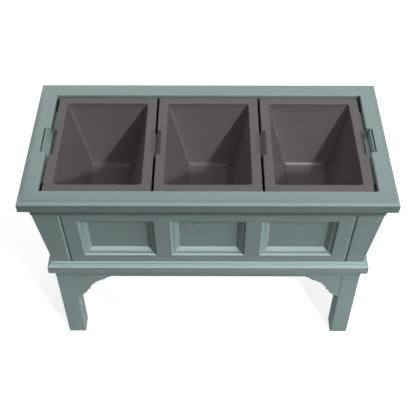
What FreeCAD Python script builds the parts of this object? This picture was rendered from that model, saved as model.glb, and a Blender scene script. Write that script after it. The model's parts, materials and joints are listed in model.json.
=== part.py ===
import FreeCAD, Part
import math
import os
import Sketcher

# Raised garden bed: a moulded stand with three lift-out trays.
# Millimetres, +Z up, origin on the ground under the middle, front towards -Y.
# Insets are measured inwards from the outer edge of the rim.

SIZES = {
    # Rim
    "overall_width": 914.0,
    "overall_depth": 447.0,
    "overall_height": 615.0,
    "rim_border": 46.0,
    "rim_height": 28.5,
    "rim_crown_width": 17.0,
    "rim_crown_drop": 3.0,
    "rim_edge_width": 2.2,
    "rim_edge_drop": 4.0,
    "rim_edge_round": 4.5,
    "rim_inner_round": 4.0,
    "rim_wall": 4.0,
    "cove_inset": 10.0,
    "cove_lip": 6.0,
    "cove_drop": 35.0,
    "cove_foot": 1.5,
    "channel_slack": 2.0,
    "ledge_width": 12.0,
    "ledge_thickness": 7.0,
    "insert_ledge": 6.0,
    "scoop_depth": 8.5,
    "scoop_slope": 6.5,
    "scoop_bar": 2.0,
    "scoop_slot_width": 4.5,
    "scoop_slot_depth": 9.0,
    # Leaning walls
    "panel_slope": 0.0904,
    "panel_inset": 20.1,
    "panel_thickness": 6.0,
    "groove_chamfer": 4.2,
    "tongue_width": 14.0,
    "tongue_thickness": 4.0,
    "field_gap": 40.0,
    "field_margin": 27.5,
    "field_step_width": 4.5,
    "field_step_depth": 4.5,
    "field_ledge": 6.0,
    "field_ledge_drop": 2.0,
    "field_bevel_width": 10.5,
    "field_bevel_depth": 8.5,
    "field_wall": 4.0,
    # Legs and base frame
    "leg_width": 50.0,
    "leg_wall": 4.5,
    "leg_top": 12.0,
    "leg_round": 4.0,
    "leg_shoulder": 275.5,
    "apron_height": 30.5,
    "apron_thickness": 5.0,
    "lip_height": 24.0,
    "lip_overhang": 13.4,
    "lower_bead_width": 6.8,
    "lower_bead_rise": 4.8,
    "neck_width": 2.2,
    "neck_rise": 3.4,
    "upper_bead_width": 5.1,
    "upper_bead_rise": 4.6,
    "seat_wall_height": 15.0,
    "shelf_width": 10.0,
    "shelf_thickness": 6.0,
    # Arched brackets
    "bracket_reach": 100.0,
    "bracket_drop": 92.0,
    "bracket_tab": 5.0,
    "bracket_tab_reach": 80.0,
    "bracket_tab_drop": 9.0,
    "bracket_nose": 1.5,
    "bracket_tip_reach": 11.7,
    "bracket_tip_drop": 5.4,
    "bracket_step_reach": 19.0,
    "bracket_step_drop": 13.2,
    "bracket_arc_radius": 70.0,
    "bracket_heel_reach": 36.5,
    "bracket_heel_rise": 35.7,
    "bracket_fillet": 5.0,
    "bracket_bead_reach": 25.3,
    "bracket_bead_rise": 17.1,
    "bracket_toe_reach": 14.0,
    "bracket_toe_rise": 5.0,
    # Floor of the box
    "bottom_thickness": 6.0,
    "bottom_drain_radius": 7.0,
    "bottom_drain_pitch_x": 170.0,
    "bottom_drain_pitch_y": 120.0,
    # Trays
    "tray_gap": 6.0,
    "tray_end_gap": 7.5,
    "tray_side_gap": 2.5,
    "tray_border": 25.0,
    "tray_depth": 180.5,
    "tray_taper": 53.0,
    "tray_collar": 20.0,
    "tray_wall": 3.0,
    "tray_skirt": 14.0,
    "tray_corner": 7.0,
    "tray_mouth_corner": 11.0,
    "tray_edge_round": 1.8,
    "tray_mouth_round": 2.2,
    "tray_floor_round": 9.0,
    "tray_drain_radius": 5.0,
    "tray_drain_pitch": 32.0,
    "notch_length": 90.0,
    "notch_depth": 10.5,
    "notch_slope": 8.5,
    "notch_end_slope": 2.0,
    "notch_rib": 4.0,
    # Fasteners and fits
    "screw_radius": 2.1,
    "screw_head_radius": 4.5,
    "screw_head_height": 2.6,
    "leg_screw_length": 22.0,
    "leg_screw_setback": 8.0,
    "bracket_screw_length": 8.0,
    "bracket_screw_first": 26.0,
    "bracket_screw_second": 72.0,
    "screw_clearance": 0.2,
    "fit_clearance": 0.4,
}

X_AXIS = FreeCAD.Vector(1, 0, 0)
Y_AXIS = FreeCAD.Vector(0, 1, 0)
Z_AXIS = FreeCAD.Vector(0, 0, 1)

doc = FreeCAD.newDocument("raised_garden_bed")
sheet = doc.addObject("Spreadsheet::Sheet", "sizes")
for row, (alias, value) in enumerate(SIZES.items(), start=1):
    sheet.set(f"A{row}", alias)
    sheet.set(f"B{row}", str(value))
    sheet.setAlias(f"B{row}", alias)
doc.recompute()


class Size:
    """A dimension that knows both its number and the sheet expression behind it."""

    def __init__(self, number, text):
        self.number = number
        self.text = text

    def __add__(self, other):
        other = as_size(other)
        return Size(self.number + other.number, f"({self.text} + {other.text})")

    def __sub__(self, other):
        other = as_size(other)
        return Size(self.number - other.number, f"({self.text} - {other.text})")

    def __mul__(self, other):
        other = as_size(other)
        return Size(self.number * other.number, f"({self.text} * {other.text})")

    def __truediv__(self, other):
        other = as_size(other)
        return Size(self.number / other.number, f"({self.text} / {other.text})")

    def __neg__(self):
        return Size(-self.number, f"(0 - {self.text})")


def as_size(value):
    if isinstance(value, Size):
        return value
    return Size(float(value), repr(float(value)))


def size(alias):
    return Size(float(sheet.get(alias)), f"sizes.{alias}")


# Values shared by several pieces
HALF_X = size("overall_width") / 2
HALF_Y = size("overall_depth") / 2
TOP = size("overall_height")
RIM_BOTTOM = TOP - size("rim_height")
COVE_BOTTOM = RIM_BOTTOM - size("cove_drop")
FIT = size("fit_clearance")
SLOPE = size("panel_slope")
LEAN = math.degrees(math.atan(SLOPE.number))
WALL = size("panel_thickness")

APRON_BOTTOM = size("leg_shoulder")
LIP_BOTTOM = APRON_BOTTOM + size("apron_height")
SEAT = LIP_BOTTOM + size("lip_height")
NECK_BOTTOM = SEAT + size("lower_bead_rise")
NECK_TOP = NECK_BOTTOM + size("neck_rise")
MOULDING_TOP = NECK_TOP + size("upper_bead_rise")
CHANNEL_TOP = TOP - size("rim_wall") - size("channel_slack")


def wall_inset(z):
    """Inset of the leaning outer face at height z."""
    return size("panel_inset") + (RIM_BOTTOM - z) * SLOPE


# The base moulding steps outwards from the foot of the wall, and the legs stand back from its lip
MOULDING_INSET = wall_inset(MOULDING_TOP) - FIT
NECK_INSET = MOULDING_INSET - size("upper_bead_width")
BEAD_INSET = NECK_INSET - size("neck_width")
LIP_INSET = BEAD_INSET - size("lower_bead_width")
LEG_INSET = LIP_INSET + size("lip_overhang")
LEG_INNER = LEG_INSET + size("leg_width")
APRON_BACK = LEG_INSET + size("apron_thickness")
SEAT_BACK = wall_inset(SEAT) + WALL + size("channel_slack") / 2
SEAT_WALL_BACK = SEAT_BACK + size("rim_wall")
SHELF_TOP = SEAT - size("bottom_thickness") - size("shelf_thickness")
SHELF_BOTTOM = SHELF_TOP - size("shelf_thickness")
SHELF_EDGE = SEAT_WALL_BACK + size("shelf_width")
WALL_TOP = CHANNEL_TOP - FIT

OPENING_X = HALF_X - size("rim_border")
OPENING_Y = HALF_Y - size("rim_border")
LEDGE_TOP = RIM_BOTTOM + size("ledge_thickness")
TRAY_X = (OPENING_X * 2 - size("tray_end_gap") * 2 - size("tray_gap") * 2) / 6
TRAY_Y = OPENING_Y - size("tray_side_gap")
TRAY_PITCH = TRAY_X * 2 + size("tray_gap")
FLANGE_TOP = LEDGE_TOP + size("tray_skirt")


def drive(obj, **properties):
    """Bind properties of an object to sheet expressions."""
    for name, value in properties.items():
        obj.setExpression(name, as_size(value).text)


def place(obj, x=0, y=0, z=0, rotation=None):
    """Turn an object, then bind its position to the sheet."""
    if rotation is not None:
        obj.Placement = FreeCAD.Placement(FreeCAD.Vector(), rotation)
    for axis, value in zip("xyz", (x, y, z)):
        obj.setExpression(f".Placement.Base.{axis}", as_size(value).text)


def turn(degrees):
    return FreeCAD.Rotation(Z_AXIS, degrees)


# Part primitives and booleans
def box(name, x0, x1, y0, y1, z0, z1):
    obj = doc.addObject("Part::Box", name)
    x0, x1, y0, y1, z0, z1 = [as_size(v) for v in (x0, x1, y0, y1, z0, z1)]
    drive(obj, Length=x1 - x0, Width=y1 - y0, Height=z1 - z0)
    place(obj, x0, y0, z0)
    return obj


def frustum(name, base, top, z0, z1, x=0, y=0):
    """Block with rectangular ends: half sizes base at z0 and top at z1."""
    obj = doc.addObject("Part::Wedge", name)
    base_x, base_y = [as_size(v) for v in base]
    top_x, top_y = [as_size(v) for v in top]
    drive(obj, Xmin=-base_x, Xmax=base_x, Zmin=-base_y, Zmax=base_y)
    drive(obj, X2min=-top_x, X2max=top_x, Z2min=-top_y, Z2max=top_y)
    drive(obj, Ymin=0, Ymax=as_size(z1) - as_size(z0))
    place(obj, x, y, z0, FreeCAD.Rotation(X_AXIS, 90))
    return obj


def cylinder(name, radius, height, x, y, z, rotation=None):
    obj = doc.addObject("Part::Cylinder", name)
    drive(obj, Radius=radius, Height=height)
    place(obj, x, y, z, rotation)
    return obj


def cut(name, base, tool):
    obj = doc.addObject("Part::Cut", name)
    obj.Base = base
    obj.Tool = tool
    return obj


def common(name, base, tool):
    obj = doc.addObject("Part::Common", name)
    obj.Base = base
    obj.Tool = tool
    return obj


def fuse(name, shapes):
    obj = doc.addObject("Part::MultiFuse", name)
    obj.Shapes = shapes
    obj.Refine = True
    return obj


def group(name, shapes):
    obj = doc.addObject("Part::Compound", name)
    obj.Links = shapes
    return obj


# PartDesign bodies and sketches
def new_body(name):
    return doc.addObject("PartDesign::Body", name)


def new_sketch(body, name, plane, offset=0):
    """Sketch on one of the body's own origin planes, moved along its normal."""
    sketch = body.newObject("Sketcher::SketchObject", name)
    support = [f for f in body.Origin.OriginFeatures if f.Role == plane][0]
    sketch.AttachmentSupport = [(support, "")]
    sketch.MapMode = "FlatFace"
    sketch.setExpression(".AttachmentOffset.Base.z", as_size(offset).text)
    return sketch


def pin_point(sketch, geometry, end, point):
    """Hold the end of a sketch segment at its driven coordinates."""
    for kind, axis, value in (("DistanceX", -2, point[0]), ("DistanceY", -1, point[1])):
        if abs(value.number) < 1e-9:
            sketch.addConstraint(Sketcher.Constraint("PointOnObject", geometry, end, axis))
            continue
        index = sketch.addConstraint(Sketcher.Constraint(kind, -1, 1, geometry, end, value.number))
        sketch.setExpression(f"Constraints[{index}]", value.text)


def arc_through(a, b, radius, bulge):
    """Short arc from a to b, on the left of that direction when bulge is positive."""
    chord = b - a
    rise = math.sqrt(max(radius * radius - chord.Length ** 2 / 4, 0.0))
    left = FreeCAD.Vector(-chord.y, chord.x, 0).normalize()
    middle = (a + b) / 2 + left * (bulge * (radius - rise))
    return Part.Arc(a, middle, b)


def draw_loop(sketch, points, arcs=None):
    """Closed outline through driven points; arcs maps a segment to its radius and bulge."""
    arcs = arcs or {}
    points = [(as_size(x), as_size(y)) for x, y in points]
    places = [FreeCAD.Vector(x.number, y.number, 0) for x, y in points]
    count = len(points)
    ids = []
    for i, start in enumerate(places):
        end = places[(i + 1) % count]
        if i in arcs:
            radius, bulge = arcs[i]
            curve = arc_through(start, end, radius.number, bulge)
        else:
            curve = Part.LineSegment(start, end)
        ids.append(sketch.addGeometry(curve))
    starts = [
        1 if (sketch.getPoint(geometry, 1) - start).Length < 1e-6 else 2
        for geometry, start in zip(ids, places)
    ]
    for i, geometry in enumerate(ids):
        following = (i + 1) % count
        end = 3 - starts[i]
        joint = Sketcher.Constraint("Coincident", geometry, end, ids[following], starts[following])
        sketch.addConstraint(joint)
    for i, geometry in enumerate(ids):
        pin_point(sketch, geometry, starts[i], points[i])
        if i in arcs:
            index = sketch.addConstraint(Sketcher.Constraint("Radius", geometry, arcs[i][0].number))
            sketch.setExpression(f"Constraints[{index}]", arcs[i][0].text)


def draw_rectangle(sketch, x0, x1, y0, y1):
    draw_loop(sketch, [(x0, y0), (x1, y0), (x1, y1), (x0, y1)])


def draw_rounded(sketch, half_x, half_y, radius):
    """Rectangle about the origin with rounded corners."""
    inner_x = half_x - radius
    inner_y = half_y - radius
    points = [
        (-inner_x, -half_y), (inner_x, -half_y), (half_x, -inner_y), (half_x, inner_y),
        (inner_x, half_y), (-inner_x, half_y), (-half_x, inner_y), (-half_x, -inner_y),
    ]
    draw_loop(sketch, points, {i: (radius, -1) for i in (1, 3, 5, 7)})


def draw_circles(sketch, centres, radius):
    for x, y in centres:
        x, y = as_size(x), as_size(y)
        circle = Part.Circle(FreeCAD.Vector(x.number, y.number, 0), Z_AXIS, radius.number)
        geometry = sketch.addGeometry(circle)
        pin_point(sketch, geometry, 3, (x, y))
        index = sketch.addConstraint(Sketcher.Constraint("Radius", geometry, radius.number))
        sketch.setExpression(f"Constraints[{index}]", radius.text)


def feature(body, kind, name, profile):
    obj = body.newObject(f"PartDesign::{kind}", name)
    obj.Profile = profile
    return obj


def pad(body, name, sketch, length, reverse=False):
    obj = feature(body, "Pad", name, sketch)
    drive(obj, Length=length)
    obj.Reversed = reverse
    return obj


def pocket(body, name, sketch, length, reverse=False):
    obj = feature(body, "Pocket", name, sketch)
    drive(obj, Length=length)
    obj.Reversed = reverse
    return obj


def loft(body, kind, name, first, last):
    obj = feature(body, kind, name, first)
    obj.Sections = [last]
    obj.Ruled = True
    return obj


def round_edges(body, name, base, radius, chosen):
    """Fillet the edges of a feature that a test picks."""
    doc.recompute()
    edges = [f"Edge{i}" for i, edge in enumerate(base.Shape.Edges, start=1) if chosen(edge)]
    obj = body.newObject("PartDesign::Fillet", name)
    obj.Base = (base, edges)
    drive(obj, Radius=radius)
    return obj


def swept_ring(name, profile, arcs):
    """Ring of one section around the plan of the rim; the section is given as (inset, height)."""
    body = new_body(name)
    path = new_sketch(body, f"{name}_path", "XY_Plane")
    corners = [(0, -HALF_Y), (HALF_X, -HALF_Y), (HALF_X, HALF_Y), (-HALF_X, HALF_Y), (-HALF_X, -HALF_Y)]
    draw_loop(path, corners)
    section = new_sketch(body, f"{name}_section", "YZ_Plane")
    draw_loop(section, [(as_size(inset) - HALF_Y, z) for inset, z in profile], arcs)
    doc.recompute()
    pipe = feature(body, "AdditivePipe", f"{name}_sweep", (section, [""]))
    pipe.Spine = (path, [f"Edge{i + 1}" for i in range(len(corners))])
    pipe.Transition = "Right corner"
    return body


def level_start_radius(width, drop):
    """Radius of the arc that starts level and falls by drop over width."""
    return (width * width + drop * drop) / (drop * 2)


PARTS = []


def deliver(obj, label):
    """Name a finished piece."""
    obj.Label = label
    PARTS.append(obj)
    return obj


TRAYS = {"left_tray": -1, "centre_tray": 0, "right_tray": 1}
SIDES = {"front": 0, "right": 90, "back": 180, "left": 270}
CORNERS = {
    "front_left": (-1, -1, 0),
    "front_right": (1, -1, 90),
    "back_right": (1, 1, 180),
    "back_left": (-1, 1, 270),
}


def half_along(side):
    return HALF_X if side in ("front", "back") else HALF_Y


def half_away(side):
    return HALF_Y if side in ("front", "back") else HALF_X


def side_point(side, along, away):
    """Plan position of a point given along a side and outwards from the middle."""
    along, away = as_size(along), as_size(away)
    return {
        "front": (along, -away),
        "right": (away, along),
        "back": (-along, away),
        "left": (-away, -along),
    }[side]


# Rim: one moulded section, split at the seams into long rims and short inserts
rim_wall = size("rim_wall")
border = size("rim_border")
channel_inner = wall_inset(RIM_BOTTOM) + WALL + size("channel_slack")
core_outer = channel_inner + rim_wall
core_inner = border - rim_wall
cove_bottom_inner = wall_inset(COVE_BOTTOM) - FIT
cove_bottom_outer = cove_bottom_inner - size("cove_foot")
cove_top = RIM_BOTTOM - size("cove_lip")
crown_width = size("rim_crown_width") - size("rim_edge_width")
crown_drop = size("rim_crown_drop")
inner_round = size("rim_inner_round")
rim_profile = [
    (border, TOP - inner_round),
    (border - inner_round, TOP),
    (size("rim_crown_width"), TOP),
    (size("rim_edge_width"), TOP - crown_drop),
    (0, TOP - crown_drop - size("rim_edge_drop")),
    (0, RIM_BOTTOM),
    (size("cove_inset"), RIM_BOTTOM),
    (size("cove_inset"), cove_top),
    (cove_bottom_outer, COVE_BOTTOM),
    (cove_bottom_inner, COVE_BOTTOM),
    (wall_inset(CHANNEL_TOP) - FIT, CHANNEL_TOP),
    (channel_inner, CHANNEL_TOP),
    (channel_inner, RIM_BOTTOM),
    (core_outer, RIM_BOTTOM),
    (core_outer, TOP - rim_wall),
    (core_inner, TOP - rim_wall),
    (core_inner, RIM_BOTTOM),
    (border, RIM_BOTTOM),
]
rim_arcs = {
    0: (inner_round, -1),
    2: (level_start_radius(crown_width, crown_drop), -1),
    3: (size("rim_edge_round"), -1),
    7: (size("cove_drop"), 1),
}
rim_ring = swept_ring("rim_ring", rim_profile, rim_arcs)

SEAM = HALF_Y - LEG_INNER
notch_half = size("notch_length") / 2
notch_foot = notch_half - size("notch_end_slope")


def in_order(first, second):
    return sorted((first, second), key=lambda value: value.number)


def scoop(body, kind, name, edge, direction, z0, z1, depth, slope):
    """Finger scoop at a tray or rim edge, narrower towards its foot."""
    sections = []
    for end, z, deep, half in (("foot", z0, depth - slope, notch_foot), ("mouth", z1, depth, notch_half)):
        sketch = new_sketch(body, f"{name}_{end}", "XY_Plane", z)
        x0, x1 = in_order(edge - size("tray_gap") * direction, edge + deep * direction)
        draw_rectangle(sketch, x0, x1, -half, half)
        sections.append(sketch)
    doc.recompute()
    loft(body, kind, name, *sections)
    doc.recompute()


for side, sign in (("front", -1), ("back", 1)):
    y0, y1 = in_order(SEAM * sign, HALF_Y * sign)
    region = box(f"{side}_rim_region", -HALF_X, HALF_X, y0, y1, COVE_BOTTOM, TOP)
    length = common(f"{side}_rim_length", rim_ring, region)
    y0, y1 = in_order((OPENING_Y + rim_wall / 2) * sign, (OPENING_Y - size("ledge_width")) * sign)
    half_ledge = TRAY_X - size("tray_gap")
    pieces = [length]
    for order in TRAYS.values():
        middle = TRAY_PITCH * order
        name = f"{side}_ledge_{order + 1}"
        ledge = box(name, middle - half_ledge, middle + half_ledge, y0, y1, RIM_BOTTOM, LEDGE_TOP)
        pieces.append(ledge)
    deliver(fuse(f"{side}_rim_solid", pieces), f"{side}_rim")

for side, sign in (("left", -1), ("right", 1)):
    x0, x1 = in_order(OPENING_X * sign, HALF_X * sign)
    region = box(f"{side}_rim_region", x0, x1, -SEAM, SEAM, COVE_BOTTOM, TOP)
    length = common(f"{side}_rim_length", rim_ring, region)
    x0, x1 = in_order(OPENING_X * sign, (HALF_X - channel_inner) * sign)
    half_fill = notch_half + size("notch_rib")
    filling = box(f"{side}_scoop_block", x0, x1, -half_fill, half_fill, RIM_BOTTOM, TOP - inner_round)
    blank = fuse(f"{side}_insert_blank", [length, filling])
    cutter = new_body(f"{side}_scoop_cutter")
    depth = size("scoop_depth")
    name = f"{side}_insert_scoop"
    scoop(cutter, "AdditiveLoft", name, OPENING_X * sign, sign, RIM_BOTTOM, TOP, depth, size("scoop_slope"))
    bar_outer = OPENING_X + depth + size("scoop_bar")
    x0, x1 = in_order(bar_outer * sign, (bar_outer + size("scoop_slot_width")) * sign)
    slot = box(f"{side}_scoop_slot", x0, x1, -notch_foot, notch_foot, TOP - size("scoop_slot_depth"), TOP)
    scooped = cut(f"{side}_insert_scooped", blank, fuse(f"{side}_scoop_cuts", [cutter, slot]))
    x0, x1 = in_order((OPENING_X + rim_wall / 2) * sign, (OPENING_X - size("insert_ledge")) * sign)
    ledge = box(f"{side}_insert_ledge", x0, x1, -SEAM, SEAM, RIM_BOTTOM, LEDGE_TOP)
    x0, x1 = in_order((OPENING_X + depth) * sign, OPENING_X * sign)
    heel = box(f"{side}_scoop_heel", x0, x1, -notch_half, notch_half, RIM_BOTTOM, LEDGE_TOP)
    deliver(fuse(f"{side}_insert_solid", [scooped, ledge, heel]), f"{side}_rim_insert")

# Leaning corner posts: two layers of the same tapering shell, the inner one lapping behind the panels
def wall_block(name, depth, z0, z1):
    """Solid block with leaning sides, set in from the outer face by depth."""
    low = wall_inset(z0) + depth
    high = wall_inset(z1) + depth
    return frustum(name, (HALF_X - low, HALF_Y - low), (HALF_X - high, HALF_Y - high), z0, z1)


tongue_bottom = SEAT + size("seat_wall_height") + FIT
tongue_top = RIM_BOTTOM - FIT
lap = WALL + size("tongue_thickness")
outer_shell = cut(
    "outer_shell",
    wall_block("shell_out", 0, SEAT, WALL_TOP),
    wall_block("shell_in", WALL, SEAT, WALL_TOP),
)
inner_shell = cut(
    "inner_shell",
    wall_block("lap_out", WALL, tongue_bottom, tongue_top),
    wall_block("lap_in", lap, tongue_bottom, tongue_top),
)


def corner_box(name, sign_x, sign_y, reach, z0, z1):
    x0, x1 = in_order(HALF_X * sign_x, (HALF_X - reach) * sign_x)
    y0, y1 = in_order(HALF_Y * sign_y, (HALF_Y - reach) * sign_y)
    return box(name, x0, x1, y0, y1, z0, z1)


def groove_edges(shape, sign_x, sign_y):
    """Outer edges of a post beside its two panels."""
    seam_x = (HALF_X - LEG_INNER).number * sign_x
    seam_y = SEAM.number * sign_y
    found = []
    for index, edge in enumerate(shape.Edges, start=1):
        points = [v.Point for v in edge.Vertexes]
        if len(points) != 2 or abs(points[0].z - points[1].z) < 50:
            continue
        faces_y = [abs(abs(p.y) - HALF_Y.number + wall_inset(as_size(p.z)).number) < 1e-4 for p in points]
        faces_x = [abs(abs(p.x) - HALF_X.number + wall_inset(as_size(p.z)).number) < 1e-4 for p in points]
        on_x = all(abs(p.x - seam_x) < 1e-4 for p in points)
        on_y = all(abs(p.y - seam_y) < 1e-4 for p in points)
        if (on_x and all(faces_y)) or (on_y and all(faces_x)):
            found.append(index)
    return found


for corner, (sign_x, sign_y, angle) in CORNERS.items():
    outer_box = corner_box(f"{corner}_post_box", sign_x, sign_y, LEG_INNER, SEAT, WALL_TOP)
    outer_layer = common(f"{corner}_post_outer", outer_shell, outer_box)
    lap_box = corner_box(
        f"{corner}_lap_box", sign_x, sign_y, LEG_INNER + size("tongue_width"), tongue_bottom, tongue_top
    )
    inner_layer = common(f"{corner}_post_inner", inner_shell, lap_box)
    post = fuse(f"{corner}_post_blank", [outer_layer, inner_layer])
    doc.recompute()
    chamfer = doc.addObject("Part::Chamfer", f"{corner}_post_solid")
    chamfer.Base = post
    depth = size("groove_chamfer").number
    chamfer.Edges = [(index, depth, depth) for index in groove_edges(post.Shape, sign_x, sign_y)]
    deliver(chamfer, f"{corner}_corner_post")

# Panels: flat slabs with dished fields, made flat and then leaned into place
run_up = math.sqrt(1 + SLOPE.number ** 2)
STRETCH = Size(run_up, "sqrt(1 + sizes.panel_slope * sizes.panel_slope)")


def panel(side, count):
    """Panel in its own plane: x along the side, y up the lean, z outwards."""
    name = f"{side}_wall"
    half = half_along(side) - LEG_INNER - FIT / 2
    height = (WALL_TOP - SEAT - WALL * SLOPE) * STRETCH
    low = (MOULDING_TOP - SEAT) * STRETCH
    high = (COVE_BOTTOM - SEAT) * STRETCH
    middle = (low + high) / 2
    field_y = (high - low) / 2 - size("field_margin")
    field_x = (half * 2 - size("field_gap") * (count + 1)) / (2 * count)
    pitch = field_x * 2 + size("field_gap")
    step = size("field_step_width")
    ledge = step + size("field_ledge")
    bevel = ledge + size("field_bevel_width")
    step_depth = size("field_step_depth")
    ledge_depth = step_depth + size("field_ledge_drop")
    full_depth = ledge_depth + size("field_bevel_depth")
    dish = size("field_wall")
    thickness = WALL / STRETCH - FIT / 4
    slab = box(f"{name}_slab", -half, half, 0, height, -thickness, 0)
    additions = [slab]
    removals = []
    for i in range(count):
        x = pitch * (i - (count - 1) / 2)
        back = frustum(
            f"{name}_dish_{i}",
            (field_x - bevel + dish, field_y - bevel + dish),
            (field_x - step + dish, field_y - step + dish),
            -full_depth - dish, -step_depth, x, middle,
        )
        additions.append(back)
        for band, inner, outer, low_z, high_z in (
            ("step", step, 0, step_depth, 0),
            ("ledge", ledge, step, ledge_depth, step_depth),
            ("bevel", bevel, ledge, full_depth, ledge_depth),
        ):
            removals.append(frustum(
                f"{name}_{band}_{i}",
                (field_x - inner, field_y - inner), (field_x - outer, field_y - outer),
                -as_size(low_z), -as_size(high_z), x, middle,
            ))
    blank = fuse(f"{name}_blank", additions)
    recessed = cut(f"{name}_recessed", blank, fuse(f"{name}_fields", removals))
    doc.recompute()
    chamfer = doc.addObject("Part::Chamfer", f"{name}_solid")
    chamfer.Base = recessed
    depth = size("groove_chamfer").number
    edges = []
    for index, edge in enumerate(recessed.Shape.Edges, start=1):
        points = [v.Point for v in edge.Vertexes]
        at_side = all(abs(abs(p.x) - half.number) < 1e-4 and abs(p.z) < 1e-4 for p in points)
        if at_side and len(points) == 2 and abs(points[0].x - points[1].x) < 1e-4:
            edges.append((index, depth, depth))
    chamfer.Edges = edges
    x, y = side_point(side, 0, half_away(side) - wall_inset(SEAT))
    place(chamfer, x, y, SEAT, turn(SIDES[side]) * FreeCAD.Rotation(X_AXIS, 90 + LEAN))
    return chamfer


deliver(panel("front", 3), "front_panel")
deliver(panel("back", 3), "back_panel")
deliver(panel("left", 1), "left_end_panel")
deliver(panel("right", 1), "right_end_panel")

# Screws: long ones through the box floor into the legs, short ones through the brackets into the apron
screw_hole = size("screw_radius") + size("screw_clearance")
screw_inset = LEG_INNER - size("leg_screw_setback")
shelf_middle = (SEAT_WALL_BACK + SHELF_EDGE) / 2
bracket_screw_z = (APRON_BOTTOM + LIP_BOTTOM) / 2
bracket_back = APRON_BACK + size("bracket_tab")
FLOOR_TOP = SHELF_TOP + size("bottom_thickness")
leg_screw_spots = []
for sign_x, sign_y, angle in CORNERS.values():
    leg_screw_spots.append(((HALF_X - screw_inset) * sign_x, (HALF_Y - shelf_middle) * sign_y))
    leg_screw_spots.append(((HALF_X - shelf_middle) * sign_x, (HALF_Y - screw_inset) * sign_y))


def screw(name, length, x, y, z, rotation):
    """Pan head and shank, the shank running along the turned -Z axis from the seat."""
    head = cylinder(f"{name}_head", size("screw_head_radius"), size("screw_head_height"), 0, 0, 0)
    shank = cylinder(f"{name}_shank", size("screw_radius"), length, 0, 0, -length)
    solid = fuse(name, [head, shank])
    place(solid, x, y, z, rotation)
    return solid


leg_screws = []
floor_holes = []
for i, (x, y) in enumerate(leg_screw_spots):
    leg_screws.append(screw(f"leg_screw_{i}", size("leg_screw_length"), x, y, FLOOR_TOP, turn(0)))
    hole = cylinder(f"floor_hole_{i}", screw_hole, size("leg_screw_length"), x, y, SHELF_BOTTOM)
    floor_holes.append(hole)
deliver(group("leg_screw_group", leg_screws), "leg_screws")

bracket_screws = []
apron_holes = []
bite = size("bracket_screw_length") - size("bracket_tab")
for side, angle in SIDES.items():
    inward = turn(angle) * FreeCAD.Rotation(X_AXIS, -90)
    for end in (-1, 1):
        for order, alias in enumerate(("bracket_screw_first", "bracket_screw_second")):
            along = (half_along(side) - LEG_INNER - size(alias)) * end
            x, y = side_point(side, along, half_away(side) - bracket_back)
            name = f"{side}_{end + 1}_{order}"
            bracket_screws.append(
                screw(f"bracket_screw_{name}", size("bracket_screw_length"), x, y, bracket_screw_z, inward)
            )
            x, y = side_point(side, along, half_away(side) - APRON_BACK + bite + FIT)
            hole = cylinder(f"apron_hole_{name}", screw_hole, bite + FIT, x, y, bracket_screw_z, inward)
            apron_holes.append(hole)
deliver(group("bracket_screw_group", bracket_screws), "bracket_screws")

# Base rails: moulding, apron, seat for the walls and shelf for the box floor, mitred at the corners
rail_profile = [
    (MOULDING_INSET, MOULDING_TOP),
    (NECK_INSET, NECK_TOP),
    (BEAD_INSET, NECK_BOTTOM),
    (LIP_INSET, SEAT),
    (LIP_INSET, LIP_BOTTOM),
    (LEG_INSET, LIP_BOTTOM),
    (LEG_INSET, APRON_BOTTOM),
    (APRON_BACK, APRON_BOTTOM),
    (APRON_BACK, SHELF_BOTTOM),
    (SHELF_EDGE, SHELF_BOTTOM),
    (SHELF_EDGE, SHELF_TOP),
    (SEAT_WALL_BACK, SHELF_TOP),
    (SEAT_WALL_BACK, SEAT + size("seat_wall_height")),
    (SEAT_BACK, SEAT + size("seat_wall_height")),
    (SEAT_BACK, SEAT),
    (wall_inset(SEAT) - FIT, SEAT),
]
rail_arcs = {
    0: (level_start_radius(size("upper_bead_width"), size("upper_bead_rise")), -1),
    1: (size("neck_rise"), 1),
    2: (level_start_radius(size("lower_bead_width"), size("lower_bead_rise")), -1),
}
rail_holes = group("rail_holes", floor_holes + apron_holes)


def base_rail(side, angle):
    """One straight length of the section, mitred at both ends and drilled."""
    name = f"{side}_rail"
    half = half_along(side)
    away = half_away(side)
    body = new_body(f"{name}_length")
    section = new_sketch(body, f"{name}_section", "YZ_Plane", -half)
    draw_loop(section, [(inset - away, z) for inset, z in rail_profile], rail_arcs)
    doc.recompute()
    pad(body, f"{name}_pad", section, half * 2)
    place(body, 0, 0, 0, turn(angle))
    mitre = doc.addObject("Part::Wedge", f"{name}_mitre")
    height = MOULDING_TOP - APRON_BOTTOM
    drive(mitre, Xmin=-half, Xmax=half, X2min=SHELF_EDGE - half, X2max=half - SHELF_EDGE)
    drive(mitre, Ymin=0, Ymax=SHELF_EDGE, Zmin=0, Zmax=height, Z2min=0, Z2max=height)
    x, y = side_point(side, 0, away)
    place(mitre, x, y, APRON_BOTTOM, turn(angle))
    return cut(f"{name}_solid", common(f"{name}_mitred", body, mitre), rail_holes)


for side, angle in SIDES.items():
    deliver(base_rail(side, angle), f"{side}_base_rail")

# Box floor resting on the rail shelf
floor_inset = SEAT_WALL_BACK + FIT
floor_body = new_body("floor_plate")
plate_sketch = new_sketch(floor_body, "floor_outline", "XY_Plane", SHELF_TOP)
draw_rounded(plate_sketch, HALF_X - floor_inset, HALF_Y - floor_inset, size("rim_wall") / 2)
doc.recompute()
pad(floor_body, "floor_pad", plate_sketch, size("bottom_thickness"))
drain_sketch = new_sketch(floor_body, "floor_drains", "XY_Plane", FLOOR_TOP)
drain_x = size("bottom_drain_pitch_x")
drain_y = size("bottom_drain_pitch_y")
drain_spots = [(drain_x * i, drain_y * j) for i in (-2, -1, 0, 1, 2) for j in (-0.5, 0.5)]
draw_circles(drain_sketch, drain_spots, size("bottom_drain_radius"))
screw_sketch = new_sketch(floor_body, "floor_screw_holes", "XY_Plane", FLOOR_TOP)
draw_circles(screw_sketch, leg_screw_spots, screw_hole)
doc.recompute()
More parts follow.
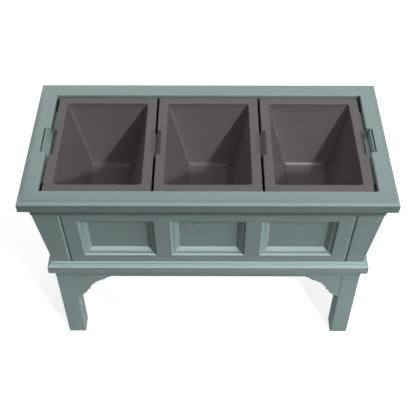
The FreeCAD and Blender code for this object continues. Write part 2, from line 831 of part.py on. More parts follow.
pocket(floor_body, "floor_drain_pocket", drain_sketch, size("bottom_thickness") * 2)
pocket(floor_body, "floor_screw_pocket", screw_sketch, size("bottom_thickness") * 2)
deliver(floor_body, "bottom_panel")

# Legs: square hollow posts with a shoulder under the apron and a stub behind it
def leg(corner, sign_x, sign_y, angle):
    name = f"{corner}_leg_body"
    body = new_body(name)
    post = new_sketch(body, f"{name}_outline", "XY_Plane")
    draw_rectangle(post, LEG_INSET, LEG_INNER, LEG_INSET, LEG_INNER)
    stub = new_sketch(body, f"{name}_stub", "XY_Plane", APRON_BOTTOM)
    draw_rectangle(stub, APRON_BACK + FIT, LEG_INNER, APRON_BACK + FIT, LEG_INNER)
    hollow = new_sketch(body, f"{name}_hollow", "XY_Plane")
    near = APRON_BACK + FIT + size("leg_wall")
    far = LEG_INNER - size("leg_wall")
    draw_rectangle(hollow, near, far, near, far)
    holes = new_sketch(body, f"{name}_holes", "XY_Plane", SHELF_BOTTOM)
    draw_circles(holes, [(screw_inset, shelf_middle), (shelf_middle, screw_inset)], screw_hole)
    doc.recompute()
    shaft = pad(body, f"{name}_post", post, APRON_BOTTOM)

    def upright(edge):
        points = [v.Point for v in edge.Vertexes]
        return len(points) == 2 and abs(points[0].z - points[1].z) > 1

    round_edges(body, f"{name}_corners", shaft, size("leg_round"), upright)
    pad(body, f"{name}_tenon", stub, SHELF_BOTTOM - APRON_BOTTOM)
    pocket(body, f"{name}_core", hollow, SHELF_BOTTOM - size("leg_top"), reverse=True)
    pocket(body, f"{name}_screw_holes", holes, size("leg_top"))
    place(body, HALF_X * sign_x, HALF_Y * sign_y, 0, turn(angle))
    return body


for corner, (sign_x, sign_y, angle) in CORNERS.items():
    deliver(leg(corner, sign_x, sign_y, angle), f"{corner}_leg")

# Arched brackets flush with the apron, each with a tab screwed behind it
def bracket(label, x, y, angle, hand):
    """Plate with its outer face at y 0: x grows away from the leg, towards the given hand."""
    name = f"{label}_body"
    body = new_body(name)
    reach = size("bracket_reach")
    drop = APRON_BOTTOM - size("bracket_drop")
    nose_z = APRON_BOTTOM - size("bracket_nose")
    plate_depth = size("apron_thickness")
    tab_depth = size("bracket_tab")
    outline = new_sketch(body, f"{name}_outline", "XZ_Plane")
    heel_x = size("bracket_heel_reach")
    heel_z = drop + size("bracket_heel_rise")
    fillet = size("bracket_fillet")
    points = [
        (heel_x, heel_z),
        (reach - size("bracket_step_reach"), nose_z - size("bracket_step_drop")),
        (reach - size("bracket_tip_reach"), nose_z - size("bracket_tip_drop")),
        (reach, nose_z),
        (reach, APRON_BOTTOM),
        (0, APRON_BOTTOM),
        (0, drop),
        (size("bracket_toe_reach"), drop + size("bracket_toe_rise")),
        (size("bracket_bead_reach"), drop + size("bracket_bead_rise")),
        (heel_x - fillet, heel_z - fillet),
        (heel_x, heel_z - fillet),
    ]
    points = [(as_size(px) * hand, pz) for px, pz in points]
    draw_loop(outline, points, {0: (size("bracket_arc_radius"), hand)})
    tab = new_sketch(body, f"{name}_tab", "XZ_Plane", -plate_depth)
    x0, x1 = in_order(as_size(0), size("bracket_tab_reach") * hand)
    draw_rectangle(tab, x0, x1, APRON_BOTTOM - size("bracket_tab_drop"), SHELF_BOTTOM)
    holes = new_sketch(body, f"{name}_holes", "XZ_Plane", -plate_depth)
    screw_places = (size("bracket_screw_first"), size("bracket_screw_second"))
    spots = [(distance * hand, bracket_screw_z) for distance in screw_places]
    draw_circles(holes, spots, screw_hole)
    doc.recompute()
    pad(body, f"{name}_plate", outline, plate_depth, reverse=True)
    pad(body, f"{name}_tab_pad", tab, tab_depth, reverse=True)
    pocket(body, f"{name}_bores", holes, tab_depth)
    place(body, x, y, 0, turn(angle))
    return body


BRACKET_ENDS = {
    "front": ("left", "right"),
    "right": ("front", "back"),
    "back": ("right", "left"),
    "left": ("back", "front"),
}
for side, angle in SIDES.items():
    for end, sign in zip(BRACKET_ENDS[side], (-1, 1)):
        x, y = side_point(side, (half_along(side) - LEG_INNER) * sign, half_away(side) - LEG_INSET)
        label = f"{side}_{end}_bracket"
        deliver(bracket(label, x, y, angle, -sign), label)

# Trays: tapering tubs hung by a skirted flange
def tray(label, order):
    name = f"{label}_body"
    body = new_body(name)
    wall = size("tray_wall")
    skirt_foot = FLANGE_TOP - size("tray_skirt")
    mouth_x = TRAY_X - size("tray_border")
    mouth_y = TRAY_Y - size("tray_border")
    collar_foot = FLANGE_TOP - size("tray_collar")
    floor_z = FLANGE_TOP - size("tray_depth")
    floor_x = mouth_x - size("tray_taper")
    floor_y = mouth_y - size("tray_taper")
    corner = size("tray_mouth_corner")

    flange = new_sketch(body, f"{name}_flange", "XY_Plane", FLANGE_TOP)
    draw_rounded(flange, TRAY_X, TRAY_Y, size("tray_corner"))
    collar = new_sketch(body, f"{name}_collar", "XY_Plane", collar_foot)
    draw_rounded(collar, mouth_x + wall, mouth_y + wall, corner + wall)
    tub_top = new_sketch(body, f"{name}_tub_top", "XY_Plane", collar_foot)
    draw_rounded(tub_top, mouth_x + wall, mouth_y + wall, corner + wall)
    tub_foot = new_sketch(body, f"{name}_tub_foot", "XY_Plane", floor_z - wall)
    draw_rounded(tub_foot, floor_x + wall, floor_y + wall, corner + wall)
    mouth = new_sketch(body, f"{name}_mouth", "XY_Plane", FLANGE_TOP)
    draw_rounded(mouth, mouth_x, mouth_y, corner)
    bowl_top = new_sketch(body, f"{name}_bowl_top", "XY_Plane", collar_foot)
    draw_rounded(bowl_top, mouth_x, mouth_y, corner)
    bowl_foot = new_sketch(body, f"{name}_bowl_foot", "XY_Plane", floor_z)
    draw_rounded(bowl_foot, floor_x, floor_y, corner)
    drains = new_sketch(body, f"{name}_drains", "XY_Plane", floor_z)
    spots = [(size("tray_drain_pitch") * i, 0) for i in (-1, 0, 1)]
    draw_circles(drains, spots, size("tray_drain_radius"))

    under = new_sketch(body, f"{name}_under", "XY_Plane", skirt_foot)
    rib = size("notch_rib")
    lip_x = TRAY_X - wall
    lip_y = TRAY_Y - wall
    tub_x = mouth_x + wall * 2
    tub_y = mouth_y + wall * 2
    for sign in (-1, 1):
        y0, y1 = in_order(tub_y * sign, lip_y * sign)
        draw_rectangle(under, -lip_x + corner, lip_x - corner, y0, y1)
        y0, y1 = in_order((notch_half + rib) * sign, (mouth_y - corner) * sign)
        for hand in (-1, 1):
            x0, x1 = in_order(tub_x * hand, lip_x * hand)
            draw_rectangle(under, x0, x1, y0, y1)
    doc.recompute()

    rim = pad(body, f"{name}_flange_pad", flange, size("tray_skirt"), reverse=True)

    def top_edge(edge):
        return all(abs(v.Point.z - FLANGE_TOP.number) < 1e-6 for v in edge.Vertexes)

    round_edges(body, f"{name}_flange_round", rim, size("tray_edge_round"), top_edge)
    pad(body, f"{name}_collar_pad", collar, size("tray_collar") - wall)
    loft(body, "AdditiveLoft", f"{name}_tub", tub_top, tub_foot)
    opened = pocket(body, f"{name}_mouth_pocket", mouth, size("tray_collar"))

    def mouth_edge(edge):
        within_x = all(abs(v.Point.x) < mouth_x.number + 1e-6 for v in edge.Vertexes)
        within_y = all(abs(v.Point.y) < mouth_y.number + 1e-6 for v in edge.Vertexes)
        return within_x and within_y and top_edge(edge)

    round_edges(body, f"{name}_mouth_round", opened, size("tray_mouth_round"), mouth_edge)
    bowl = loft(body, "SubtractiveLoft", f"{name}_bowl", bowl_top, bowl_foot)

    def floor_edge(edge):
        return all(abs(v.Point.z - floor_z.number) < 1e-6 for v in edge.Vertexes)

    round_edges(body, f"{name}_floor_round", bowl, size("tray_floor_round"), floor_edge)
    pocket(body, f"{name}_drain_pocket", drains, wall * 2)
    pocket(body, f"{name}_under_pocket", under, size("tray_skirt") - wall, reverse=True)
    for hand, direction in (("left", 1), ("right", -1)):
        edge = TRAY_X * -direction
        label_hand = f"{name}_{hand}_scoop"
        depth = size("notch_depth")
        slope = size("notch_slope")
        scoop(body, "SubtractiveLoft", label_hand, edge, direction, skirt_foot, FLANGE_TOP, depth, slope)
    place(body, TRAY_PITCH * order, 0, 0)
    return body


for label, order in TRAYS.items():
    deliver(tray(label, order), label)

doc.recompute()
os.makedirs("parts", exist_ok=True)
for obj in doc.Objects:
    if "Invalid" in obj.State or "Error" in obj.State:
        raise RuntimeError(f"{obj.Name} did not build: {obj.State}")
for obj in PARTS:
    if obj.Shape.isNull() or not obj.Shape.isValid() or not obj.Shape.Solids:
        raise RuntimeError(f"{obj.Label} has no valid solid")
    obj.Shape.exportStep(f"parts/{obj.Label}.step")
    print(obj.Label, len(obj.Shape.Solids), round(obj.Shape.Volume / 1000, 1), obj.Shape.BoundBox)
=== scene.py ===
"""Looks of the raised garden bed: satin grey-green resin stand with three lift-out taupe trays."""
import json
import math

import bmesh
import bpy
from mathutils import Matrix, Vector

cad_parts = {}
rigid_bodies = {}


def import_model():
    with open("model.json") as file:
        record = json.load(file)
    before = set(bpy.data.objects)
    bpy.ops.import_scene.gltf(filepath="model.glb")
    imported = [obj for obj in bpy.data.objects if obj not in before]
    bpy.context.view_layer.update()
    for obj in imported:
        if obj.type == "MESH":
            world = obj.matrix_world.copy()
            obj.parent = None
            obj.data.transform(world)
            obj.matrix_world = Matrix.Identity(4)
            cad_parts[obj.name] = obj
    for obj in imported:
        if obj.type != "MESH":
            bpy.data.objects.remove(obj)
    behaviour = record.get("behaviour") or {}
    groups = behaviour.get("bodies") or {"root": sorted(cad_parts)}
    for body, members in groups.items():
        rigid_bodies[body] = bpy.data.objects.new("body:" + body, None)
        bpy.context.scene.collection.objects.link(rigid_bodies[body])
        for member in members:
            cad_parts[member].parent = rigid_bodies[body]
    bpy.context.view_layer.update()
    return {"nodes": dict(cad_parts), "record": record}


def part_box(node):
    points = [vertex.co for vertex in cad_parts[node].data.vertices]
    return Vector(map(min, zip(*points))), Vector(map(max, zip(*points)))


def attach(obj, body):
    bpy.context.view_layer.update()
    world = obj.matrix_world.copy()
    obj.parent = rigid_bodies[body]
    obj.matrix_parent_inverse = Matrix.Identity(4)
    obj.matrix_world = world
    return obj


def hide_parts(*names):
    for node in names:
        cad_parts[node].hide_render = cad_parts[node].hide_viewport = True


for thing in list(bpy.data.objects):
    bpy.data.objects.remove(thing)
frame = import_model()

# One millimetre, in the scene's metres
MM = 0.001

# The finish and the body of each node, from the record
slot_of = {part["node"]: part["material_slot"] for part in frame["record"]["subparts"]}
body_of = {node: body for body, nodes in frame["record"]["behaviour"]["bodies"].items() for node in nodes}


# Node helpers
def new_material(name):
    material = bpy.data.materials.new(name)
    material.use_nodes = True
    tree = material.node_tree
    shader = tree.nodes["Principled BSDF"]
    coords = tree.nodes.new("ShaderNodeTexCoord")
    return material, tree, shader, coords.outputs["Object"]


def noise(tree, coords, scale, detail=3.0, roughness=0.55, stretch=(1, 1, 1)):
    """Noise of one cell per 1/scale metres, longer where stretch is smaller."""
    mapping = tree.nodes.new("ShaderNodeMapping")
    mapping.inputs["Scale"].default_value = stretch
    texture = tree.nodes.new("ShaderNodeTexNoise")
    texture.inputs["Scale"].default_value = scale
    texture.inputs["Detail"].default_value = detail
    texture.inputs["Roughness"].default_value = roughness
    tree.links.new(coords, mapping.inputs["Vector"])
    tree.links.new(mapping.outputs["Vector"], texture.inputs["Vector"])
    return texture.outputs["Fac"]


def spread(tree, value, low, high):
    """The middle half of a noise spread over low to high."""
    node = tree.nodes.new("ShaderNodeMapRange")
    node.inputs["From Min"].default_value = 0.25
    node.inputs["From Max"].default_value = 0.75
    node.inputs["To Min"].default_value = low
    node.inputs["To Max"].default_value = high
    tree.links.new(value, node.inputs["Value"])
    return node.outputs["Result"]


def blend_colours(tree, factor, first, second):
    node = tree.nodes.new("ShaderNodeMix")
    node.data_type = "RGBA"
    colours = [s for s in node.inputs if s.type == "RGBA"]
    for socket, colour in zip(colours, (first, second)):
        if isinstance(colour, bpy.types.NodeSocket):
            tree.links.new(colour, socket)
        else:
            socket.default_value = (*colour, 1)
    tree.links.new(factor, node.inputs["Factor"])
    return [s for s in node.outputs if s.type == "RGBA"][0]


def bump(tree, shader, heights):
    """Chains bumps of (height, strength, depth in metres) into the shader's normal."""
    normal = None
    for height, strength, depth in heights:
        node = tree.nodes.new("ShaderNodeBump")
        node.inputs["Strength"].default_value = strength
        node.inputs["Distance"].default_value = depth
        tree.links.new(height, node.inputs["Height"])
        if normal:
            tree.links.new(normal, node.inputs["Normal"])
        normal = node.outputs["Normal"]
    tree.links.new(normal, shader.inputs["Normal"])


def tint(colour, factor):
    return tuple(c * factor for c in colour)


# Finishes
def stand_resin():
    """Grey-green moulded resin with a satin skin, faint flow clouds and a fine orange peel."""
    material, tree, shader, coords = new_material("stand_resin")
    colour = (0.244, 0.334, 0.322)
    clouds = spread(tree, noise(tree, coords, 5.0), 0.0, 1.0)
    specks = spread(tree, noise(tree, coords, 140.0, detail=4.0), 0.0, 1.0)
    clouded = blend_colours(tree, clouds, tint(colour, 0.965), tint(colour, 1.03))
    fine = blend_colours(tree, specks, tint(colour, 0.975), tint(colour, 1.02))
    both = blend_colours(tree, clouds, clouded, fine)
    tree.links.new(both, shader.inputs["Base Color"])
    tree.links.new(spread(tree, noise(tree, coords, 32.0), 0.22, 0.28), shader.inputs["Roughness"])
    shader.inputs["Specular IOR Level"].default_value = 0.5
    bump(tree, shader, [
        (noise(tree, coords, 420.0, detail=2.0), 0.10, 0.15 * MM),
        (noise(tree, coords, 24.0, detail=2.0), 0.06, 0.8 * MM),
    ])
    return material


def tray_resin():
    """Dark taupe resin, a little more matt than the stand, with a fine moulded grain."""
    material, tree, shader, coords = new_material("tray_resin")
    colour = (0.236, 0.211, 0.209)
    clouds = spread(tree, noise(tree, coords, 7.0), 0.0, 1.0)
    grain = spread(tree, noise(tree, coords, 260.0, detail=4.0), 0.0, 1.0)
    clouded = blend_colours(tree, clouds, tint(colour, 0.95), tint(colour, 1.04))
    grained = blend_colours(tree, grain, tint(colour, 0.96), tint(colour, 1.03))
    both = blend_colours(tree, clouds, clouded, grained)
    tree.links.new(both, shader.inputs["Base Color"])
    tree.links.new(spread(tree, noise(tree, coords, 45.0), 0.32, 0.40), shader.inputs["Roughness"])
    shader.inputs["Specular IOR Level"].default_value = 0.18
    bump(tree, shader, [
        (noise(tree, coords, 900.0, detail=2.0), 0.12, 0.12 * MM),
        (noise(tree, coords, 30.0, detail=2.0), 0.05, 0.6 * MM),
    ])
    return material


def screw_steel():
    """Zinc plated steel with a fine brushed streak and dull patches."""
    material, tree, shader, coords = new_material("screw_steel")
    colour = (0.58, 0.58, 0.56)
    streaks = spread(tree, noise(tree, coords, 900.0, stretch=(1, 1, 0.08)), 0.0, 1.0)
    mixed = blend_colours(tree, streaks, tint(colour, 0.85), tint(colour, 1.05))
    tree.links.new(mixed, shader.inputs["Base Color"])
    tree.links.new(spread(tree, noise(tree, coords, 300.0), 0.26, 0.42), shader.inputs["Roughness"])
    shader.inputs["Metallic"].default_value = 1.0
    bump(tree, shader, [(streaks, 0.08, 0.05 * MM)])
    return material


finishes = {"stand_resin": stand_resin(), "tray_resin": tray_resin(), "screw_steel": screw_steel()}
for name, node in frame["nodes"].items():
    node.data.materials.clear()
    node.data.materials.append(finishes[slot_of[name]])


# Pieces that stand for CAD nodes
SHARP_ANGLE = math.radians(38)


def smooth_piece(name, shape, stood_for):
    """Object of a finished mesh, flat faces kept flat, that rides and looks as the node it stands for."""
    mesh = bpy.data.meshes.new(name)
    bmesh.ops.recalc_face_normals(shape, faces=shape.faces)
    for face in shape.faces:
        face.smooth = True
    shape.to_mesh(mesh)
    shape.free()
    mesh.set_sharp_from_angle(angle=SHARP_ANGLE)
    piece = bpy.data.objects.new(name, mesh)
    bpy.context.collection.objects.link(piece)
    piece.modifiers.new("flat_faces", "WEIGHTED_NORMAL").keep_sharp = True
    mesh.materials.append(finishes[slot_of[stood_for]])
    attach(piece, body_of[stood_for])
    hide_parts(stood_for)
    return piece


# Trays, in millimetres about the middle of each tray
TRAY_BORDER = 25.0
TRAY_DEPTH = 180.5
TRAY_TAPER = 53.0
TRAY_COLLAR = 20.0
TRAY_WALL = 3.0
TRAY_SKIRT = 14.0
TRAY_CORNER = 7.0
MOUTH_CORNER = 9.0
FLOOR_CORNER = 5.0
EDGE_ROUND = 1.8
MOUTH_ROUND = 2.2
FLOOR_ROUND = 16.0
NOTCH_HALF = 45.0
NOTCH_DEPTH = 10.5
NOTCH_FOOT = -2.4
RIM_NOTCH_FOOT = 0.3
NOTCH_END = 1.0
NOTCH_END_SLOPE = 2.0
DRAIN_RADIUS = 5.0
DRAIN_PITCH = 32.0
CORNER_STEPS = 6
ROUND_STEPS = 4
DRAIN_STEPS = 20


def arc_steps(count, turn):
    return [turn * i / count for i in range(count + 1)]


def tray_ring(half_x, half_y, corner, notches=(0.0, 0.0), notch_half=NOTCH_HALF):
    """Plan of a tray at one height: rounded corners, and a finger notch in its left and its right edge."""
    points = []
    left, right = notches
    floor_half = notch_half - NOTCH_END
    side = [(0, notch_half), (1, floor_half), (1, -floor_half), (0, -notch_half)]
    for quarter, (sign_x, sign_y) in enumerate(((1, 1), (-1, 1), (-1, -1), (1, -1))):
        for angle in arc_steps(CORNER_STEPS, math.pi / 2):
            turned = angle + quarter * math.pi / 2
            x = sign_x * (half_x - corner) + corner * math.cos(turned)
            y = sign_y * (half_y - corner) + corner * math.sin(turned)
            points.append((x, y))
        if quarter == 1:
            points += [(share * left - half_x, y) for share, y in side]
        if quarter == 3:
            points += [(half_x - share * right, -y) for share, y in side]
    return points


def tray_rings(half_x, half_y, top, feet):
    """Rings of a tray as (plan, height), from the inside of its floor over the flange to its underside.

    The feet are the insets of its left and right notch at the bottom of the skirt.
    """
    rings = []
    mouth_x = half_x - TRAY_BORDER
    mouth_y = half_y - TRAY_BORDER
    floor_x = mouth_x - TRAY_TAPER
    floor_y = mouth_y - TRAY_TAPER
    floor_z = top - TRAY_DEPTH
    collar_z = top - TRAY_COLLAR
    lean = math.atan2(collar_z - floor_z, TRAY_TAPER)
    reach = FLOOR_ROUND * math.tan(lean / 2)
    for angle in arc_steps(ROUND_STEPS, lean):
        out = FLOOR_ROUND * math.sin(angle) - reach
        rise = FLOOR_ROUND * (1 - math.cos(angle))
        rings.append((tray_ring(floor_x + out, floor_y + out, FLOOR_CORNER), floor_z + rise))
    rings.append((tray_ring(mouth_x, mouth_y, MOUTH_CORNER), collar_z))
    for angle in arc_steps(ROUND_STEPS, math.pi / 2):
        out = MOUTH_ROUND * (1 - math.cos(angle))
        drop = MOUTH_ROUND * (1 - math.sin(angle))
        rings.append((tray_ring(mouth_x + out, mouth_y + out, MOUTH_CORNER + out), top - drop))
    for angle in arc_steps(ROUND_STEPS, math.pi / 2):
        back = EDGE_ROUND * (1 - math.sin(angle))
        drop = EDGE_ROUND * (1 - math.cos(angle))
        notches = [NOTCH_DEPTH - (NOTCH_DEPTH - foot) * drop / TRAY_SKIRT for foot in feet]
        plan = tray_ring(half_x - back, half_y - back, TRAY_CORNER - back, notches, NOTCH_HALF + back)
        rings.append((plan, top - drop))
    skirt_z = top - TRAY_SKIRT
    rings.append((tray_ring(half_x, half_y, TRAY_CORNER, feet, NOTCH_HALF - NOTCH_END_SLOPE), skirt_z))
    inner_x = half_x - TRAY_WALL
    inner_y = half_y - TRAY_WALL
    behind = (NOTCH_DEPTH, NOTCH_DEPTH)
    inner = tray_ring(inner_x, inner_y, TRAY_CORNER - TRAY_WALL, behind, NOTCH_HALF + TRAY_WALL)
    rings.append((inner, skirt_z))
    rings.append((inner, top - TRAY_WALL))
    outside = tray_ring(mouth_x + TRAY_WALL, mouth_y + TRAY_WALL, MOUTH_CORNER + TRAY_WALL)
    rings.append((outside, top - TRAY_WALL))
    rings.append((outside, collar_z))
    base = tray_ring(floor_x + TRAY_WALL, floor_y + TRAY_WALL, FLOOR_CORNER + TRAY_WALL)
    rings.append((base, floor_z - TRAY_WALL))
    return rings


def loop_edges(shape, verts):
    """The edges of a closed row of points, made where they are missing."""
    pairs = zip(verts, verts[1:] + verts[:1])
    return [shape.edges.get(pair) or shape.edges.new(pair) for pair in pairs]


def band(shape, first, second):
    """Quads between two closed rows of points of the same count."""
    count = len(first)
    for i in range(count):
        following = (i + 1) % count
        shape.faces.new((first[i], first[following], second[following], second[i]))


def tray(node):
    """A tray whose notches all but meet those of the next tray, and keep clear of the rim."""
    low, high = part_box(node)
    centre_x = (low[0] + high[0]) / 2
    half_x = (high[0] - low[0]) / 2 / MM
    half_y = (high[1] - low[1]) / 2 / MM
    shape = bmesh.new()

    def row(plan, z):
        return [shape.verts.new((centre_x + x * MM, y * MM, z * MM)) for x, y in plan]

    feet = [RIM_NOTCH_FOOT if node == outer else NOTCH_FOOT for outer in ("left_tray", "right_tray")]
    rings = tray_rings(half_x, half_y, high[2] / MM, feet)
    rows = [row(plan, z) for plan, z in rings]
    for first, second in zip(rows, rows[1:]):
        band(shape, first, second)
    floor_edges = loop_edges(shape, rows[0])
    base_edges = loop_edges(shape, rows[-1])
    for place in (-DRAIN_PITCH, 0.0, DRAIN_PITCH):
        turns = arc_steps(DRAIN_STEPS, 2 * math.pi)[:-1]
        plan = [(place + DRAIN_RADIUS * math.cos(t), DRAIN_RADIUS * math.sin(t)) for t in turns]
        above = row(plan, rings[0][1])
        below = row(plan, rings[-1][1])
        band(shape, above, below)
        floor_edges += loop_edges(shape, above)
        base_edges += loop_edges(shape, below)
    for edges in (floor_edges, base_edges):
        bmesh.ops.triangle_fill(shape, edges=edges, use_beauty=True)
    return smooth_piece(f"{node}_shell", shape, node)


# Rounded edges of the stand's mouldings
WELD = 0.02 * MM
FLAT_ANGLE = math.radians(0.6)
ROUNDED_ANGLE = math.radians(28)
EDGE_STEPS = 2
EDGE_WIDTHS = {
    "_rim": 1.0 * MM,
    "_insert": 1.0 * MM,
    "_panel": 0.8 * MM,
    "_post": 0.8 * MM,
    "_rail": 0.6 * MM,
    "_bracket": 0.6 * MM,
}


def rounded(node, width):
    """The node's own shape with a small round on each of its sharp edges."""
    shape = bmesh.new()
    shape.from_mesh(frame["nodes"][node].data)
    bmesh.ops.remove_doubles(shape, verts=shape.verts, dist=WELD)
    bmesh.ops.dissolve_limit(shape, angle_limit=FLAT_ANGLE, verts=shape.verts, edges=shape.edges)
    sharp = [
        edge for edge in shape.edges
        if edge.is_manifold and edge.calc_face_angle() > ROUNDED_ANGLE
    ]
    bmesh.ops.bevel(
        shape, geom=sharp, offset=width, offset_type="OFFSET", affect="EDGES",
        segments=EDGE_STEPS, profile=0.5, clamp_overlap=False,
    )
    return smooth_piece(f"{node}_moulding", shape, node)


for node in ("left_tray", "centre_tray", "right_tray"):
    tray(node)
for node in slot_of:
    for ending, width in EDGE_WIDTHS.items():
        if node.endswith(ending):
            rounded(node, width)


# Floor and backdrop, white in the picture and dim to the rays that carry light
SEEN_RAYS = ("Is Camera Ray", "Is Glossy Ray", "Is Transmission Ray")
PICTURED_RAYS = ("Is Camera Ray", "Is Transmission Ray")
FLOOR_HALF = 8.0
FLOOR_PALE = (0.9, 0.9, 0.9, 1)
FLOOR_DIM = (0.12, 0.12, 0.12, 1)
FLOOR_GLOW = 0.755
FLOOR_NEAR = 1.2
FLOOR_FAR = 3.2
AMBIENT = 0.01


def ray_is(tree, kinds):
    """One for rays of these kinds, nought for the rest."""
    path = tree.nodes.new("ShaderNodeLightPath")
    total = path.outputs[kinds[0]]
    for kind in kinds[1:]:
        node = tree.nodes.new("ShaderNodeMath")
        node.operation = "MAXIMUM"
        tree.links.new(total, node.inputs[0])
        tree.links.new(path.outputs[kind], node.inputs[1])
        total = node.outputs[0]
    return total


def glow_strength(tree):
    """White lift of the floor in the picture: whole far away, weaker where the object's shadow lies."""
    place = tree.nodes.new("ShaderNodeTexCoord")
    distance = tree.nodes.new("ShaderNodeVectorMath")
    distance.operation = "LENGTH"
    fade = tree.nodes.new("ShaderNodeMapRange")
    fade.inputs["From Min"].default_value = FLOOR_NEAR
    fade.inputs["From Max"].default_value = FLOOR_FAR
    fade.inputs["To Min"].default_value = FLOOR_GLOW
    fade.inputs["To Max"].default_value = 1.0
    shown = tree.nodes.new("ShaderNodeMath")
    shown.operation = "MULTIPLY"
    tree.links.new(place.outputs["Object"], distance.inputs[0])
    tree.links.new(distance.outputs["Value"], fade.inputs["Value"])
    tree.links.new(fade.outputs["Result"], shown.inputs[0])
    tree.links.new(ray_is(tree, PICTURED_RAYS), shown.inputs[1])
    return shown.outputs[0]


def floor():
    mesh = bpy.data.meshes.new("floor")
    corners = [(x * FLOOR_HALF, y * FLOOR_HALF, 0) for x, y in ((-1, -1), (1, -1), (1, 1), (-1, 1))]
    mesh.from_pydata(corners, [], [(0, 1, 2, 3)])
    ground = bpy.data.objects.new("floor", mesh)
    bpy.context.collection.objects.link(ground)
    material = bpy.data.materials.new("floor")
    material.use_nodes = True
    tree = material.node_tree
    tree.nodes.clear()
    out = tree.nodes.new("ShaderNodeOutputMaterial")
    pale = tree.nodes.new("ShaderNodeBsdfDiffuse")
    pale.inputs["Color"].default_value = FLOOR_PALE
    glow = tree.nodes.new("ShaderNodeEmission")
    both = tree.nodes.new("ShaderNodeAddShader")
    dim = tree.nodes.new("ShaderNodeBsdfDiffuse")
    dim.inputs["Color"].default_value = FLOOR_DIM
    choice = tree.nodes.new("ShaderNodeMixShader")
    tree.links.new(glow_strength(tree), glow.inputs["Strength"])
    tree.links.new(pale.outputs[0], both.inputs[0])
    tree.links.new(glow.outputs[0], both.inputs[1])
    tree.links.new(ray_is(tree, SEEN_RAYS), choice.inputs[0])
    tree.links.new(dim.outputs[0], choice.inputs[1])
    tree.links.new(both.outputs[0], choice.inputs[2])
    tree.links.new(choice.outputs[0], out.inputs["Surface"])
    mesh.materials.append(material)
    return ground


def world():
    sky = bpy.data.worlds.new("studio")
    bpy.context.scene.world = sky
    sky.use_nodes = True
    tree = sky.node_tree
    back = tree.nodes["Background"]
    back.inputs["Color"].default_value = (1, 1, 1, 1)
    level = tree.nodes.new("ShaderNodeMapRange")
    level.inputs["To Min"].default_value = AMBIENT
    level.inputs["To Max"].default_value = 1.0
    tree.links.new(ray_is(tree, SEEN_RAYS), level.inputs["Value"])
    tree.links.new(level.outputs["Result"], back.inputs["Strength"])


# Lamps, each for the pieces of one group
def light_groups(ground):
    """Collections of the stand, of its rims, of its walls, and of the trays with the floor."""
    groups = {name: bpy.data.collections.new(f"{name}_lit") for name in ("stand", "rims", "walls", "trays")}
    groups["trays"].objects.link(ground)
    for thing in bpy.data.objects:
        if thing.type != "MESH" or thing == ground:
            continue
        if "tray" in thing.name:
            groups["trays"].objects.link(thing)
            continue
        groups["stand"].objects.link(thing)
        groups["rims" if "rim" in thing.name else "walls"].objects.link(thing)
    return groups


def lamp(name, place, target, width, depth, watts, beam, lit, gives):
    """Area lamp with a beam in degrees that gives shading, shine or both to what is lit, or to all."""
    data = bpy.data.lights.new(name, "AREA")
    data.shape = "RECTANGLE"
    data.size = width
    data.size_y = depth
    data.energy = watts
    data.spread = math.radians(beam)
    thing = bpy.data.objects.new(name, data)
    bpy.context.collection.objects.link(thing)
    thing.light_linking.receiver_collection = lit
    thing.visible_diffuse = gives != "shine"
    thing.visible_glossy = gives != "shading"
    thing.location = place
    direction = Vector(target) - Vector(place)
    thing.rotation_euler = direction.to_track_quat("-Z", "Y").to_euler()


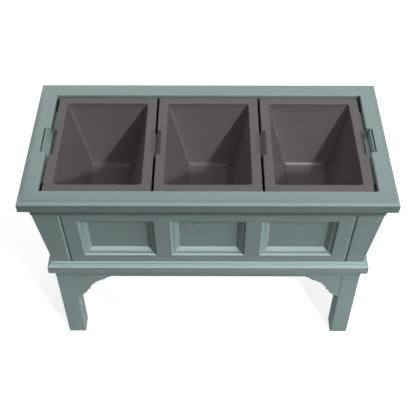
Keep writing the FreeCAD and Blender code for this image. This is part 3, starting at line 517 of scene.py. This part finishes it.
# Each lamp's name, place, target, width, depth, watts, beam, the group that it lights and what it gives
KEY_PLACE = (1.38, -2.55, 2.59)
MAIN_PLACE = (3.50, -2.02, 3.44)
BACK_PLACE = (0.0, 2.20, 2.60)
LAMPS = [
    ("key", KEY_PLACE, (0, 0, 0.45), 0.10, 0.10, 32, 180, "trays", "both"),
    ("key_card", KEY_PLACE, (0, 0, 0.45), 0.50, 0.50, 420, 180, "trays", "shine"),
    ("soft", (0.90, -0.75, 2.75), (0, 0, 0.50), 3.0, 2.6, 18, 180, "trays", "shading"),
    ("walls_main", MAIN_PLACE, (0, 0, 0.50), 3.0, 3.0, 325, 180, "walls", "both"),
    ("rims_main", MAIN_PLACE, (0, 0, 0.50), 3.0, 3.0, 254, 180, "rims", "shading"),
    ("walls_front", (1.60, -2.50, 0.55), (0, -0.2, 0.40), 1.6, 0.8, 11.5, 180, "walls", "shading"),
    ("front_card", (0.2, -2.90, 1.10), (0, -0.2, 0.42), 5.0, 1.1, 84, 180, "walls", "shine"),
    ("eye_card", (0.2, -1.90, 2.90), (0, -0.2, 0.50), 5.0, 1.6, 138, 180, "stand", "shine"),
    ("crown_card", (0.0, 0.10, 2.80), (0, -0.2, 0.60), 4.0, 0.6, 24, 180, "stand", "shine"),
    ("back", BACK_PLACE, (0, 0, 0.60), 3.2, 1.2, 14, 180, "all", "both"),
    ("tray_back", BACK_PLACE, (0, 0, 0.60), 3.2, 1.2, 18, 180, "trays", "both"),
    ("far_side", (-0.8, 3.20, 0.85), (0, 0, 0.35), 3.6, 1.2, 84, 180, "stand", "shading"),
    ("far_end", (-3.00, 1.90, 0.85), (0, 0, 0.35), 2.0, 1.2, 54, 180, "stand", "shading"),
    ("leg", (0.2, -2.40, 0.12), (0, 0, 0.12), 2.4, 0.2, 0.5, 14, "all", "both"),
]

world()
groups = light_groups(floor())
for name, place, target, width, depth, watts, beam, lit, gives in LAMPS:
    lamp(name, place, target, width, depth, watts, beam, groups.get(lit), gives)

# Camera, fitted to the photograph's edges
CAMERA_PLACE = (0.0032, -1.4126, 1.9440)
CAMERA_DIP = math.radians(48.42)
CAMERA_TURN = math.radians(0.15)
CAMERA_LENS = 65.28
CAMERA_SENSOR = 36.0


def camera():
    data = bpy.data.cameras.new("camera")
    data.sensor_width = CAMERA_SENSOR
    data.lens = CAMERA_LENS
    thing = bpy.data.objects.new("camera", data)
    bpy.context.collection.objects.link(thing)
    thing.location = CAMERA_PLACE
    thing.rotation_euler = (math.pi / 2 - CAMERA_DIP, 0, CAMERA_TURN)
    bpy.context.scene.camera = thing


camera()
bpy.context.scene.view_settings.view_transform = "Standard"
